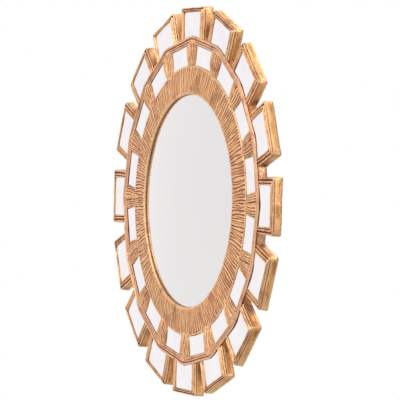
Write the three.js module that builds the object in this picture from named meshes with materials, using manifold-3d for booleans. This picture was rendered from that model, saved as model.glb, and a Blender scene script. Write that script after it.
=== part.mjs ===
// A round convex mirror in a moulded, gilded frame with two rings of small mirror tiles.
//
// The frame is one casting. Sixteen oblong petals stand round a raised sixteen-sided plateau, and
// each petal holds a flat mirror tile in a stepped border. A second tile sits on the plateau
// between each two petals, with a roof-shaped rib on both sides of it. A crowned ring leads in to
// the lip of the opening. The convex glass goes in from behind and lies in a rebate, with a
// spacer and a board over it, held by four turn buttons. A strap with a swinging ring hangs it up.
//
// Millimetres, +Z up. The mirror faces -Y. The origin is in the plane of the frame's flat back,
// where the wall hook carries the hanger's ring.
//
// Most shapes are drawn in a petal's own directions: u runs across it, clockwise round the
// mirror, v runs outwards from the mirror's centre, and w rises from the flat back to the front.

import * as THREE from "three";
import { mergeVertices } from "three/addons/utils/BufferGeometryUtils.js";
import Module from "manifold-3d";

const wasm = await Module();
wasm.setup();

// ---------- driving dimensions ----------

// The face, from the centre outwards
const petals = 16; // petals, and as many tiles on the plateau half a step round
const openingRadius = 144; // the wall inside the lip
const ringWidth = 39; // from the opening to the inner tiles
const innerTileLength = 26.2; // outwards, at the middle of the tile
const innerTileWidth = 46.8;
const plateauBorder = 10; // from the inner tiles to the plateau's flat sides
const outerTileLength = 32.2; // outwards, at the middle of the tile
const outerTileWidth = 54;
const endBorder = 5.8; // a petal's border beyond its tile
const sideBorder = 10.5; // a petal's border beside its tile
const petalTaper = 1.5; // each side of a petal draws in this much towards the plateau
const petalRootDepth = 2.2; // a petal reaches this far into the plateau's edge

// Heights over the flat back
const tilePlane = 13; // face of the outer tiles
const innerTileDrop = 0.3; // the inner tiles lie this much lower
const plateauRise = 2.1; // plateau's border over the tile plane
const plateauFloor = 0.6; // between the ribs and the tiles, over the tile plane
const lipRise = 3.6; // lip's crest over the tile plane
const ringEdgeRise = 1; // ring's outer edge over the tile plane
const ribRise = 2.8; // a rib's crest over the tile plane
const petalEdgeDrop = 1; // a petal's side wall ends this far under the tile plane
const draft = 1.2; // every outer wall leans out this much from its front edge to the back
const footChamfer = 0.6; // width of the chamfer along the back edge
const footHeight = 0.8;
const cornerReach = 3.5; // where the rounding of a petal's corner starts
const plateauCornerReach = 9;
const ringLap = 3; // the ring reaches this far into the plateau
const ribLap = 4; // a rib reaches this far into the ring and the plateau's beads
const ribUnderlap = 1; // and this far past the tiles' edges, before their seats are cut
const ribCrestHalfWidth = 1;

// Mirror tiles
const tileThickness = 2;
const tileArris = 0.4; // ground-off edge
const seatGap = 0.3; // clearance wherever one piece lies against another

// Convex glass, and behind it the spacer and the board, which ends flush with the flat back
const glassLap = 6; // the glass reaches this far past the opening
const glassThickness = 3;
const glassCurvature = 650; // radius of the front face
const rebateClearance = 1.5; // round the glass
const spacerThickness = 5;
const spacerWidth = 6;
const boardThickness = 2.6;

// Turn buttons that hold the board
const buttons = 4;
const buttonThickness = 1.5;
const buttonPivotRadius = 4.6; // rounded end round the screw
const buttonTipRadius = 3.4;
const buttonReach = 20; // screw to the centre of the tip's rounding
const buttonSetback = 10.5; // screw to the rebate's wall

// Pan-head screws, for the buttons and the strap
const screwRadius = 1.5;
const screwLength = 9;
const screwHeadRadius = 3;
const screwHeadHeight = 1.8;
const screwClearance = 0.3;

// Hanger: a strap with its end rolled round the bar of a D-shaped ring
const wireRadius = 1.25;
const ringHalfWidth = 9.5; // to the middle of the wire
const ringLeg = 4.5; // straight part of the ring's sides
const ringCorner = 2;
const strapThickness = 1.2;
const strapWidth = 14;
const strapLength = 27; // from the ring's bar to the strap's foot
const strapRollClearance = 0.25;
const strapRollEnd = -125; // degrees at which the rolled end stops, 180 being the strap's front
const strapScrewDrops = [7.5, 21]; // from the ring's bar down to each screw
const hangerSetback = 44; // rebate's wall to the ring's bar

// Pads that keep the lower edge off the wall
const bumperRadius = 9;
const bumperThickness = 6;
const bumperChamfer = 0.8;
const bumperAngles = [145, 215]; // degrees clockwise from the top, seen from the front

// Facets
const roundFacets = 84; // the opening, the ring and the rebate
const glassFacets = 64;
const tileArcParts = 3; // along the curved edge of an inner tile
const smallFacets = 14;
const flatness = 0.01; // facets of the frame closer to one plane than this are merged

// ---------- what follows from them ----------

// Height of a dome's surface over the centre of its sphere, at a radius from its axis.
function domeHeight(sphere, radius) {
  return Math.sqrt(sphere * sphere - radius * radius);
}

const step = (2 * Math.PI) / petals;
const ringOuterRadius = openingRadius + ringWidth;
const innerTileOuter = ringOuterRadius + innerTileLength;
const plateauFlat = innerTileOuter + plateauBorder; // centre to a flat side
const plateauReach = plateauFlat / Math.cos(step / 2); // centre to a corner
const outerTileOuter = plateauReach + outerTileLength;
const petalReach = outerTileOuter + endBorder;
const petalHalfWidth = outerTileWidth / 2 + sideBorder;

const innerTilePlane = tilePlane - innerTileDrop;
const glassRadius = openingRadius + glassLap;
const rebateRadius = glassRadius + rebateClearance;

// The stack in the rebate, from the flat back to the shoulder that the glass lies against
const spacerBottom = boardThickness + seatGap;
const spacerTop = spacerBottom + spacerThickness;
const glassBackEdge = spacerTop + seatGap;
const rearCurvature = glassCurvature - glassThickness;
const glassCentre = glassBackEdge - domeHeight(rearCurvature, glassRadius);
const shoulderHeight = glassCentre + domeHeight(glassCurvature, openingRadius) + seatGap;

const buttonScrewRadius = rebateRadius + buttonSetback;
const strapRollRadius = wireRadius + strapRollClearance; // inside of the roll
const barSetback = seatGap + strapThickness + strapRollRadius; // flat back to the bar's middle
const barHeight = rebateRadius + hangerSetback; // centre of the mirror to the bar
const ringHeight = ringLeg + ringHalfWidth; // bar to the top of the bow, on the wire's middle
const ringLean = Math.asin((barSetback - wireRadius - seatGap) / ringHeight);
const hookHeight = barHeight + ringHeight - wireRadius; // centre of the mirror to the wall hook

// ---------- finishes ----------

const gilding = new THREE.MeshStandardMaterial({ color: 0xb98045, roughness: 0.45, metalness: 0.7 });
const mirrorTile = new THREE.MeshStandardMaterial({ color: 0xf3f2f5, roughness: 0.03, metalness: 1 });
const convexGlass = new THREE.MeshStandardMaterial({ color: 0xe9e8e8, roughness: 0.02, metalness: 1 });
const felt = new THREE.MeshStandardMaterial({ color: 0x4a4a46, roughness: 0.95, metalness: 0 });
const hardboard = new THREE.MeshStandardMaterial({ color: 0x7a5637, roughness: 0.8, metalness: 0 });
const brassPlate = new THREE.MeshStandardMaterial({ color: 0xb89a55, roughness: 0.35, metalness: 1 });
const zincSteel = new THREE.MeshStandardMaterial({ color: 0xb4b6b8, roughness: 0.35, metalness: 1 });

// ---------- helpers ----------

const mirror = new THREE.Group();
mirror.position.z = -hookHeight;

function addPiece(name, geometry, material) {
  const mesh = new THREE.Mesh(geometry, material);
  mesh.name = name;
  mirror.add(mesh);
}

// Turns (u, v, w) at an angle clockwise from the top into the mirror's x, y and z.
function facing(angle) {
  const across = new THREE.Vector3(Math.cos(angle), 0, -Math.sin(angle));
  const outwards = new THREE.Vector3(Math.sin(angle), 0, Math.cos(angle));
  const forwards = new THREE.Vector3(0, -1, 0);
  return new THREE.Matrix4().makeBasis(across, outwards, forwards);
}

function solidOf(geometry) {
  const bare = geometry.clone();
  bare.deleteAttribute("normal");
  bare.deleteAttribute("uv");
  const merged = mergeVertices(bare, 1e-4);
  return new wasm.Manifold(
    new wasm.Mesh({
      numProp: 3,
      vertProperties: new Float32Array(merged.attributes.position.array),
      triVerts: new Uint32Array(merged.index.array),
    }),
  );
}

function geometryOf(solid) {
  const mesh = solid.getMesh();
  const geometry = new THREE.BufferGeometry();
  geometry.setAttribute("position", new THREE.BufferAttribute(mesh.vertProperties, 3));
  geometry.setIndex(new THREE.BufferAttribute(mesh.triVerts, 1));
  geometry.computeVertexNormals();
  return geometry;
}

function skin(points, faces) {
  const geometry = new THREE.BufferGeometry();
  geometry.setAttribute("position", new THREE.Float32BufferAttribute(points.flat(), 3));
  geometry.setIndex(faces.flat());
  geometry.computeVertexNormals();
  return geometry;
}

function wallBetween(lower, upper, count) {
  const faces = [];
  for (let i = 0; i < count; i += 1) {
    const next = (i + 1) % count;
    faces.push([lower + i, lower + next, upper + next]);
    faces.push([lower + i, upper + next, upper + i]);
  }
  return faces;
}

// A closed solid through outlines of equal point count, the lowest first. Each outline runs
// anticlockwise seen from the front, and both ends are closed by a fan round the outline's middle.
function loft(outlines) {
  const count = outlines[0].length;
  const middleOf = (outline) => [0, 1, 2].map((i) => outline.reduce((sum, p) => sum + p[i], 0) / count);
  const points = [...outlines.flat(), middleOf(outlines[0]), middleOf(outlines.at(-1))];
  const bottom = points.length - 2;
  const faces = [];
  for (let level = 1; level < outlines.length; level += 1) {
    faces.push(...wallBetween((level - 1) * count, level * count, count));
  }
  const last = (outlines.length - 1) * count;
  for (let i = 0; i < count; i += 1) {
    const next = (i + 1) % count;
    faces.push([bottom, next, i]);
    faces.push([bottom + 1, last + i, last + next]);
  }
  return skin(points, faces);
}

// An endless tube through sections of equal point count.
function endlessTube(sections) {
  const count = sections[0].length;
  const faces = sections.flatMap((_, i) => wallBetween(i * count, ((i + 1) % sections.length) * count, count));
  return skin(sections.flat(), faces);
}

// A corner of an outline, rounded from `reach` before it to `reach` after it.
function roundedCorner(before, corner, after, reach) {
  const towards = (other) => other.clone().sub(corner).setLength(reach).add(corner);
  return new THREE.QuadraticBezierCurve(towards(before), corner, towards(after)).getPoints(2);
}

const atHeight = (outline, w) => outline.map((point) => [point.x, point.y, w]);

// A solid of revolution round the mirror's axis, or round a parallel one. The profile is in
// radius and height over the flat back.
function turned(profile, facets) {
  const outline = profile.map(([radius, height]) => new THREE.Vector2(radius, height));
  return new THREE.LatheGeometry(outline, facets).rotateX(Math.PI);
}

function turnedRing(profile, facets) {
  return turned([...profile, profile[0]], facets);
}

// ---------- outlines of the face ----------

// One level of the plateau: its sides drawn in by `inset`.
function plateauOutline(inset) {
  const reach = (plateauFlat - inset) / Math.cos(step / 2);
  const corners = [];
  for (let k = 0; k < petals; k += 1) {
    corners.push(new THREE.Vector2(-reach * Math.sin(k * step), reach * Math.cos(k * step)));
  }
  return corners.flatMap((corner, k) =>
    roundedCorner(corners.at(k - 1), corner, corners[(k + 1) % petals], plateauCornerReach),
  );
}

// One level of a petal. `share` is 0 at the outer edge and 1 at the tile, and `lean` grows it.
function petalOutline(share, lean = 0) {
  const halfWidth = petalHalfWidth - share * sideBorder + lean;
  const rootHalf = halfWidth - petalTaper;
  const end = petalReach - share * endBorder + lean;
  const start = plateauReach - petalRootDepth;
  const rootSide = start - rootHalf * Math.tan(step / 2);
  const rootLeft = new THREE.Vector2(-rootHalf, rootSide);
  const rootRight = new THREE.Vector2(rootHalf, rootSide);
  const endRight = new THREE.Vector2(halfWidth, end);
  const endLeft = new THREE.Vector2(-halfWidth, end);
  const reach = cornerReach * (1 - 0.75 * share);
  return [
    rootLeft,
    new THREE.Vector2(0, start),
    rootRight,
    ...roundedCorner(rootRight, endRight, endLeft, reach),
    ...roundedCorner(endRight, endLeft, rootLeft, reach),
  ];
}

// A tile between the plateau's corner and a petal's end border, grown by `gap` on every side.
function outerTileShape(gap) {
  const half = outerTileWidth / 2 + gap;
  const corner = plateauReach - gap;
  const side = corner - half * Math.tan(step / 2);
  const end = outerTileOuter + gap;
  return new THREE.Shape()
    .moveTo(-half, side)
    .lineTo(0, corner)
    .lineTo(half, side)
    .lineTo(half, end)
    .lineTo(-half, end)
    .closePath();
}

// A tile on the plateau: its inner edge follows the ring.
function innerTileShape(gap) {
  const half = innerTileWidth / 2 + gap;
  const end = innerTileOuter + gap;
  const radius = ringOuterRadius - gap;
  const sweep = Math.asin(half / radius);
  return new THREE.Shape()
    .moveTo(half, end)
    .lineTo(-half, end)
    .absarc(0, 0, radius, Math.PI / 2 + sweep, Math.PI / 2 - sweep, true)
    .closePath();
}

function tileBlank(shape) {
  return new THREE.ExtrudeGeometry(shape, {
    depth: tileThickness - 2 * tileArris,
    bevelThickness: tileArris,
    bevelSize: tileArris,
    bevelOffset: -tileArris,
    bevelSegments: 1,
    curveSegments: tileArcParts,
  }).translate(0, 0, tileArris);
}

function seatCutter(shape, plane) {
  const floor = plane - tileThickness - seatGap;
  const clearOfFace = tilePlane + 2 * lipRise;
  const options = { depth: clearOfFace - floor, bevelEnabled: false, curveSegments: tileArcParts };
  return new THREE.ExtrudeGeometry(shape, options).translate(0, 0, floor);
}

// ---------- the frame ----------

// Border of a petal, from its outer edge in to the tile: [share of the border, height].
const petalBorder = [
  [0.05, tilePlane - 0.2],
  [0.3, tilePlane + 0.1],
  [0.4, tilePlane - 0.7],
  [0.49, tilePlane + 0.8],
  [0.68, tilePlane + 0.9],
  [0.74, tilePlane + 0.2],
  [0.8, tilePlane + 0.2],
  [0.86, tilePlane + 1.4],
  [0.98, tilePlane + 1.4],
];

function petalSolid() {
  const levels = [
    atHeight(petalOutline(0, draft - footChamfer), 0),
    atHeight(petalOutline(0, draft), footHeight),
    atHeight(petalOutline(0), tilePlane - petalEdgeDrop),
    ...petalBorder.map(([share, height]) => atHeight(petalOutline(share), height)),
  ];
  return loft(levels);
}

// Border of the plateau, from its edge in to the floor: [inset, height].
const plateauBeads = [
  [0, tilePlane + plateauRise - 0.9],
  [0.8, tilePlane + plateauRise - 0.1],
  [3, tilePlane + plateauRise],
  [3.7, tilePlane + plateauRise - 0.8],
  [4.6, tilePlane + plateauRise - 0.8],
  [5.4, tilePlane + plateauRise - 0.1],
  [7.8, tilePlane + plateauRise - 0.3],
  [8.6, tilePlane + plateauFloor],
];

function plateauSolid() {
  const levels = [
    atHeight(plateauOutline(footChamfer - draft), 0),
    atHeight(plateauOutline(-draft), footHeight),
    ...plateauBeads.map(([inset, height]) => atHeight(plateauOutline(inset), height)),
  ];
  return loft(levels);
}

// Roof-shaped rib between two inner tiles. Its sides are trimmed by the seats of those tiles.
function ribSolid() {
  const start = ringOuterRadius - ribLap;
  const end = innerTileOuter + ribLap;
  const halfWidthAt = (v) => v * Math.sin(step / 2) - innerTileWidth / 2 + ribUnderlap;
  const crest = ribCrestHalfWidth;
  const outline = (halfStart, halfEnd) => [
    new THREE.Vector2(-halfStart, start),
    new THREE.Vector2(halfStart, start),
    new THREE.Vector2(halfEnd, end),
    new THREE.Vector2(-halfEnd, end),
  ];
  const base = outline(halfWidthAt(start), halfWidthAt(end));
  return loft([
    atHeight(base, tilePlane - 2 * tileThickness),
    atHeight(base, tilePlane + plateauFloor),
    atHeight(outline(crest, crest), tilePlane + ribRise),
  ]);
}

// Crown of the ring: [distance from the opening, height over the tile plane].
const ringCrown = [
  [ringWidth - 0.6, ringEdgeRise],
  [24, 2.4],
  [12, 3.2],
  [5, lipRise - 0.1],
  [2.2, lipRise],
  [0.6, lipRise - 0.9],
  [0, lipRise - 2.6],
];

// Crowned ring with the lip of the opening at its inner edge, and the rebate behind the lip.
function ringSolid() {
  const profile = [
    [rebateRadius, 0],
    [ringOuterRadius - 1, 0],
    [ringOuterRadius, tilePlane + ringEdgeRise - 0.5],
    ...ringCrown.map(([distance, rise]) => [openingRadius + distance, tilePlane + rise]),
    [openingRadius, shoulderHeight],
    [rebateRadius, shoulderHeight],
  ];
  return turnedRing(profile, roundFacets);
}

function cylinderCutter(radius, from, to, facets) {
  return turned([[0, from], [radius, from], [radius, to], [0, to]], facets);
}

function screwHole() {
  const top = screwLength + screwClearance;
  return cylinderCutter(screwRadius + screwClearance, -1, top, smallFacets);
}

function addFrame() {
  const petal = petalSolid();
  const rib = ribSolid();
  const outerSeat = seatCutter(outerTileShape(seatGap), tilePlane);
  const innerSeat = seatCutter(innerTileShape(seatGap), innerTilePlane);
  const inPlace = (geometry, angle) => solidOf(geometry.clone().applyMatrix4(facing(angle)));

  let body = inPlace(plateauSolid(), 0);
  for (let k = 0; k < petals; k += 1) {
    body = body.add(inPlace(petal, k * step)).add(inPlace(rib, k * step));
  }
  const clearOfFace = tilePlane + 2 * lipRise;
  const middle = cylinderCutter(ringOuterRadius - ringLap, -1, clearOfFace, roundFacets);
  body = body.subtract(solidOf(middle)).add(solidOf(ringSolid()));
  for (let k = 0; k < petals; k += 1) {
    body = body.subtract(inPlace(outerSeat, k * step));
    body = body.subtract(inPlace(innerSeat, (k + 0.5) * step));
  }
  for (const [x, z] of [...buttonPlaces(), ...strapScrewPlaces()]) {
    body = body.subtract(solidOf(screwHole().translate(x, 0, z)));
  }
  addPiece("frame", geometryOf(body.asOriginal().simplify(flatness)), gilding);
}

// ---------- mirror tiles ----------

function addTiles() {
  const outer = tileBlank(outerTileShape(0)).translate(0, 0, tilePlane - tileThickness);
  const inner = tileBlank(innerTileShape(0)).translate(0, 0, innerTilePlane - tileThickness);
  for (let k = 0; k < petals; k += 1) {
    const number = String(k + 1).padStart(2, "0");
    addPiece(`outer_tile_${number}`, outer.clone().applyMatrix4(facing(k * step)), mirrorTile);
    addPiece(`inner_tile_${number}`, inner.clone().applyMatrix4(facing((k + 0.5) * step)), mirrorTile);
  }
}

// ---------- convex glass, spacer and board ----------

function addGlazing() {
  const arc = (sphere, parts) => {
    const points = [];
    for (let i = 0; i <= parts; i += 1) {
      const radius = (glassRadius * i) / parts;
      points.push([radius, glassCentre + domeHeight(sphere, radius)]);
    }
    return points;
  };
  const profile = [...arc(rearCurvature, 3), ...arc(glassCurvature, 6).reverse()];
  addPiece("convex_mirror", turned(profile, glassFacets), convexGlass);

  const spacerProfile = [
    [glassRadius - spacerWidth, spacerBottom],
    [glassRadius, spacerBottom],
    [glassRadius, spacerTop],
    [glassRadius - spacerWidth, spacerTop],
  ];
  addPiece("glass_spacer", turnedRing(spacerProfile, glassFacets), felt);

  const boardProfile = [[0, 0], [glassRadius, 0], [glassRadius, boardThickness], [0, boardThickness]];
  addPiece("backing_board", turned(boardProfile, glassFacets), hardboard);
}

// ---------- turn buttons ----------

const buttonAngle = (i) => ((i + 0.5) * 2 * Math.PI) / buttons;

function buttonPlaces() {
  const places = [];
  for (let i = 0; i < buttons; i += 1) {
    const angle = buttonAngle(i);
    places.push([buttonScrewRadius * Math.sin(angle), buttonScrewRadius * Math.cos(angle)]);
  }
  return places;
}

// Pan-head screw along the mirror's axis, its head's underside at height `seat`, head to the back.
function screwGeometry(seat) {
  const profile = [
    [0, seat - screwHeadHeight],
    [0.6 * screwHeadRadius, seat - screwHeadHeight],
    [0.92 * screwHeadRadius, seat - 0.7 * screwHeadHeight],
    [screwHeadRadius, seat - 0.3 * screwHeadHeight],
    [screwHeadRadius, seat],
    [screwRadius, seat],
    [screwRadius, screwLength - 2 * screwRadius],
    [0, screwLength],
  ];
  return turned(profile, smallFacets);
}

// Flat key with a round end about its screw and a narrower tip towards the mirror's centre.
function buttonGeometry() {
  const lean = Math.asin((buttonPivotRadius - buttonTipRadius) / buttonReach);
  const shape = new THREE.Shape()
    .absarc(0, 0, buttonPivotRadius, -lean, Math.PI + lean, false)
    .absarc(0, -buttonReach, buttonTipRadius, Math.PI + lean, 2 * Math.PI - lean, false)
    .closePath();
  shape.holes.push(new THREE.Path().absarc(0, 0, screwRadius + screwClearance, 0, 2 * Math.PI, true));
  const bottom = -seatGap - buttonThickness;
  const options = { depth: buttonThickness, bevelEnabled: false, curveSegments: smallFacets / 2 };
  return new THREE.ExtrudeGeometry(shape, options).translate(0, buttonScrewRadius, bottom);
}

function addButtons() {
  buttonPlaces().forEach(([x, z], i) => {
    const number = String(i + 1).padStart(2, "0");
    const key = buttonGeometry().applyMatrix4(facing(buttonAngle(i)));
    addPiece(`turn_button_${number}`, key, brassPlate);
    const headSeat = -2 * seatGap - buttonThickness;
    addPiece(`button_screw_${number}`, screwGeometry(headSeat).translate(x, 0, z), zincSteel);
  });
}

// ---------- hanger ----------

function strapScrewPlaces() {
  return strapScrewDrops.map((drop) => [0, barHeight - drop]);
}

// The strap seen from its side, drawn as (distance behind the flat back, height over the bar).
function strapSideShape() {
  const inside = strapRollRadius;
  const outside = strapRollRadius + strapThickness;
  const end = THREE.MathUtils.degToRad(strapRollEnd);
  return new THREE.Shape()
    .moveTo(seatGap, -strapLength)
    .lineTo(seatGap + strapThickness, -strapLength)
    .lineTo(seatGap + strapThickness, 0)
    .absarc(barSetback, 0, inside, Math.PI, end, true)
    .absarc(barSetback, 0, outside, end, Math.PI, false)
    .closePath();
}

function addStrap() {
  const options = { depth: strapWidth, bevelEnabled: false, curveSegments: smallFacets };
  const bent = new THREE.ExtrudeGeometry(strapSideShape(), options)
    .translate(0, 0, -strapWidth / 2)
    .applyMatrix4(new THREE.Matrix4().makeBasis(
      new THREE.Vector3(0, 1, 0),
      new THREE.Vector3(0, 0, 1),
      new THREE.Vector3(1, 0, 0),
    ));

  const half = strapWidth / 2;
  const footCentre = half - strapLength;
  const top = 2 * barSetback;
  const plan = new THREE.Shape()
    .moveTo(half, top)
    .lineTo(-half, top)
    .absarc(0, footCentre, half, Math.PI, 2 * Math.PI, false)
    .closePath();
  const depth = 4 * barSetback;
  const planCutter = new THREE.ExtrudeGeometry(plan, { depth, bevelEnabled: false, curveSegments: 12 })
    .translate(0, 0, -depth / 2)
    .applyMatrix4(facing(0));

  let strap = solidOf(bent).intersect(solidOf(planCutter));
  for (const drop of strapScrewDrops) {
    const hole = cylinderCutter(screwRadius + screwClearance, -depth, depth, smallFacets);
    strap = strap.subtract(solidOf(hole.translate(0, 0, -drop)));
  }
  addPiece("hanger_strap", geometryOf(strap).translate(0, 0, barHeight), brassPlate);

  strapScrewPlaces().forEach(([x, z], i) => {
    const headSeat = -2 * seatGap - strapThickness;
    addPiece(`hanger_screw_${i + 1}`, screwGeometry(headSeat).translate(x, 0, z), zincSteel);
  });
}

// D-shaped ring of round wire. It stands up behind the frame and leans on its flat back.
function addHangerRing() {
  const w = ringHalfWidth;
  const c = ringCorner;
  const path = new THREE.Path()
    .moveTo(c - w, 0)
    .lineTo(w - c, 0)
    .quadraticCurveTo(w, 0, w, c)
    .lineTo(w, ringLeg)
    .absarc(0, ringLeg, w, 0, Math.PI, false)
    .lineTo(-w, c)
    .quadraticCurveTo(-w, 0, c - w, 0);
  const route = path.getPoints(6).slice(0, -1);
  const points = route.filter((point, i) => point.distanceTo(route.at(i - 1)) > 1e-6);
  const sections = points.map((point, i) => {
    const ahead = points[(i + 1) % points.length];
    const along = ahead.clone().sub(points.at(i - 1)).normalize();
    const section = [];
    for (let side = 0; side < 8; side += 1) {
      const turn = (side * 2 * Math.PI) / 8;
      const out = wireRadius * Math.cos(turn);
      const back = wireRadius * Math.sin(turn);
      section.push([point.x + out * along.y, back, point.y - out * along.x]);
    }
    return section;
  });
  const wire = endlessTube(sections).rotateX(ringLean).translate(0, barSetback, barHeight);
  addPiece("hanger_ring", wire, zincSteel);
}

// ---------- wall pads ----------

function addBumpers() {
  const near = -seatGap;
  const far = near - bumperThickness;
  const profile = [
    [0, far],
    [bumperRadius - bumperChamfer, far],
    [bumperRadius, far + bumperChamfer],
    [bumperRadius, near],
    [0, near],
  ];
  const distance = (rebateRadius + plateauFlat) / 2;
  const names = ["right_bumper", "left_bumper"];
  bumperAngles.forEach((degrees, i) => {
    const angle = THREE.MathUtils.degToRad(degrees);
    const pad = turned(profile, 2 * smallFacets);
    pad.translate(distance * Math.sin(angle), 0, distance * Math.cos(angle));
    addPiece(names[i], pad, felt);
  });
}

addFrame();
addTiles();
addGlazing();
addButtons();
addStrap();
addHangerRing();
addBumpers();

export default mirror;
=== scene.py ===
# %% [markdown]
# # A convex mirror in a gilded frame
#
# The object is a round convex mirror that hangs on a wall. Its frame is one casting, coloured a
# warm brown and gilded on top: sixteen petals round a raised plateau, ribs on the plateau, and a
# combed ring that leads in to the glass. Small flat mirrors lie in the petals and between the
# ribs. This lesson rebuilds the frame with real carving, gives every surface its finish, and
# dresses the back with its board, buttons, hanger and pads.
#
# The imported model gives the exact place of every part, so it is loaded first. Its mirror tiles and
# its glass are already right and only need a finish. Its other parts are plain, and finer pieces
# made here stand for them.

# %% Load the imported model
import math
import random

import bmesh
import bpy
import numpy as np
from mathutils import Matrix, Vector


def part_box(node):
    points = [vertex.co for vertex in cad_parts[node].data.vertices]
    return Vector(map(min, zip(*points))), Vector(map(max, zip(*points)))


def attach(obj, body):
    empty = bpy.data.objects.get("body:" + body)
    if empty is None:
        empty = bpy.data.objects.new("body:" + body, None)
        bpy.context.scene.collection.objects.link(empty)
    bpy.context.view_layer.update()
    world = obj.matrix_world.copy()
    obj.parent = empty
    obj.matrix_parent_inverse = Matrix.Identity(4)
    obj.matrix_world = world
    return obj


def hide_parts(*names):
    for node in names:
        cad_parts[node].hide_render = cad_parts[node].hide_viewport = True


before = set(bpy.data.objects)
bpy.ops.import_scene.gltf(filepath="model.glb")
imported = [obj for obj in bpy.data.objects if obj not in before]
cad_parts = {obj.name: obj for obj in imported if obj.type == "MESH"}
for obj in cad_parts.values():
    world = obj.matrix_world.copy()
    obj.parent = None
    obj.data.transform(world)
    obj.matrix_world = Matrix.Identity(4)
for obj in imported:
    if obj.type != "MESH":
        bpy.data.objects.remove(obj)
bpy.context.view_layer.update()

MM = 0.001

# %% [markdown]
# Every piece is modelled lying on its back on a bench, at the centre of the scene: X runs across a
# petal, Y runs outwards from the mirror's centre, and Z rises from the flat back to the front.
# That keeps the numbers simple and makes "up" mean "towards the viewer". A finished piece is then
# hung in its real place, and its place is written into its mesh.
#
# An operator acts on everything that is selected, and the loaded parts are selected to begin with.
# So each step first deselects everything, and then selects exactly what it works on.

# %% Bench tools: adding a primitive and picking what to edit
PICK_KINDS = ("verts", "edges", "faces")


def deselect_all():
    if bpy.context.mode != "OBJECT":
        bpy.ops.object.mode_set(mode="OBJECT")
    bpy.ops.object.select_all(action="DESELECT")


def take(piece):
    deselect_all()
    piece.select_set(True)
    bpy.context.view_layer.objects.active = piece


def add_primitive(operator, name, **settings):
    deselect_all()
    operator(**settings)
    piece = bpy.context.active_object
    piece.name = piece.data.name = name
    return piece


def edit(piece):
    take(piece)
    bpy.ops.object.mode_set(mode="EDIT")
    bpy.ops.mesh.select_all(action="SELECT")


def pick(kind, test):
    """Selects the vertices, edges or faces of the edited piece that pass the test."""
    mesh = bpy.context.edit_object.data
    work = bmesh.from_edit_mesh(mesh)
    bpy.context.tool_settings.mesh_select_mode = [kind == k for k in PICK_KINDS]
    bpy.ops.mesh.select_all(action="DESELECT")
    for element in getattr(work, kind):
        if test(element):
            element.select_set(True)
    work.select_flush_mode()
    bmesh.update_edit_mesh(mesh)


def settle():
    """Leaves edit mode and writes the active piece's place, turn and size into its mesh."""
    bpy.ops.object.mode_set(mode="OBJECT")
    bpy.ops.object.transform_apply(location=True, rotation=True, scale=True)


def finish_edit():
    """Turns all faces outwards and leaves edit mode."""
    bpy.ops.mesh.select_all(action="SELECT")
    bpy.ops.mesh.normals_make_consistent(inside=False)
    bpy.ops.object.mode_set(mode="OBJECT")


def rise_to(height, current, grow_x=1.0, grow_y=1.0, fixed=(0, 0, 0)):
    """Pulls what is selected to a new height and scales it about a fixed point."""
    lift = {"value": (0, 0, height - current)}
    bpy.ops.mesh.extrude_region_move(TRANSFORM_OT_translate=lift)
    bpy.ops.transform.resize(value=(grow_x, grow_y, 1), center_override=fixed)


print("bench tools ready")

# %% Bench tools: modifiers, copies and the final place
low_glass, high_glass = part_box("convex_mirror")
CENTRE_HEIGHT = (low_glass[2] + high_glass[2]) / 2


def apply_modifier(piece, kind, name, **settings):
    take(piece)
    modifier = piece.modifiers.new(name, kind)
    for key, value in settings.items():
        setattr(modifier, key, value)
    bpy.ops.object.modifier_apply(modifier=name)


def copy_of(piece, name):
    twin = piece.copy()
    twin.data = piece.data.copy()
    twin.name = twin.data.name = name
    bpy.context.collection.objects.link(twin)
    return twin


def hang(piece, angle=0.0, x=0.0, z=0.0):
    """Stands a bench piece up, turned clockwise by an angle about the mirror's centre."""
    upright = Matrix.Rotation(math.pi / 2, 4, "X") @ Matrix.Rotation(-angle, 4, "Z")
    piece.matrix_world = Matrix.Translation((x, 0, CENTRE_HEIGHT + z)) @ upright @ piece.matrix_world
    take(piece)
    settle()


def smooth_by_angle(piece, degrees):
    take(piece)
    bpy.ops.object.shade_smooth_by_angle(angle=math.radians(degrees))


print("the mirror's centre is", round(CENTRE_HEIGHT * 1000, 2), "mm above the hook")

# %% [markdown]
# A hand-finished casting has no dead straight line. Two things give it life. A Displace modifier
# with a soft cloud texture sways every edge a little, and a second Displace, held back by a vertex
# group, digs in each groove. The group is what a carver would draw on the blank: how deep to cut,
# from 0 to 1, at every point.

# %% Bench tools: carving and swaying
def carve(piece, name, depth, share_at, direction="Z"):
    """Digs to a depth, times the share from 0 to 1 that a function gives for each vertex."""
    group = piece.vertex_groups.new(name=name)
    for vertex in piece.data.vertices:
        share = share_at(vertex.co)
        if share > 0.001:
            group.add([vertex.index], min(share, 1.0), "REPLACE")
    settings = {"strength": -depth, "mid_level": 0.0, "direction": direction}
    apply_modifier(piece, "DISPLACE", name, vertex_group=name, **settings)
    piece.vertex_groups.remove(piece.vertex_groups[name])


def cloud(name, size):
    texture = bpy.data.textures.new(name, "CLOUDS")
    texture.noise_scale = size
    texture.noise_depth = 1
    texture.cloud_type = "COLOR"
    return texture


BROAD_SWAY = cloud("broad_sway", 26 * MM)
TOOL_MARKS = cloud("tool_marks", 5 * MM)


def sway(piece, broad, fine):
    """Sways a hung piece by a broad and a fine cloud, so that no two copies are alike."""
    for texture, strength in ((BROAD_SWAY, broad), (TOOL_MARKS, fine)):
        if strength:
            apply_modifier(
                piece, "DISPLACE", texture.name, texture=texture, texture_coords="GLOBAL",
                direction="RGB_TO_XYZ", strength=strength, mid_level=0.5,
            )


print("carving tools ready")

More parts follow.
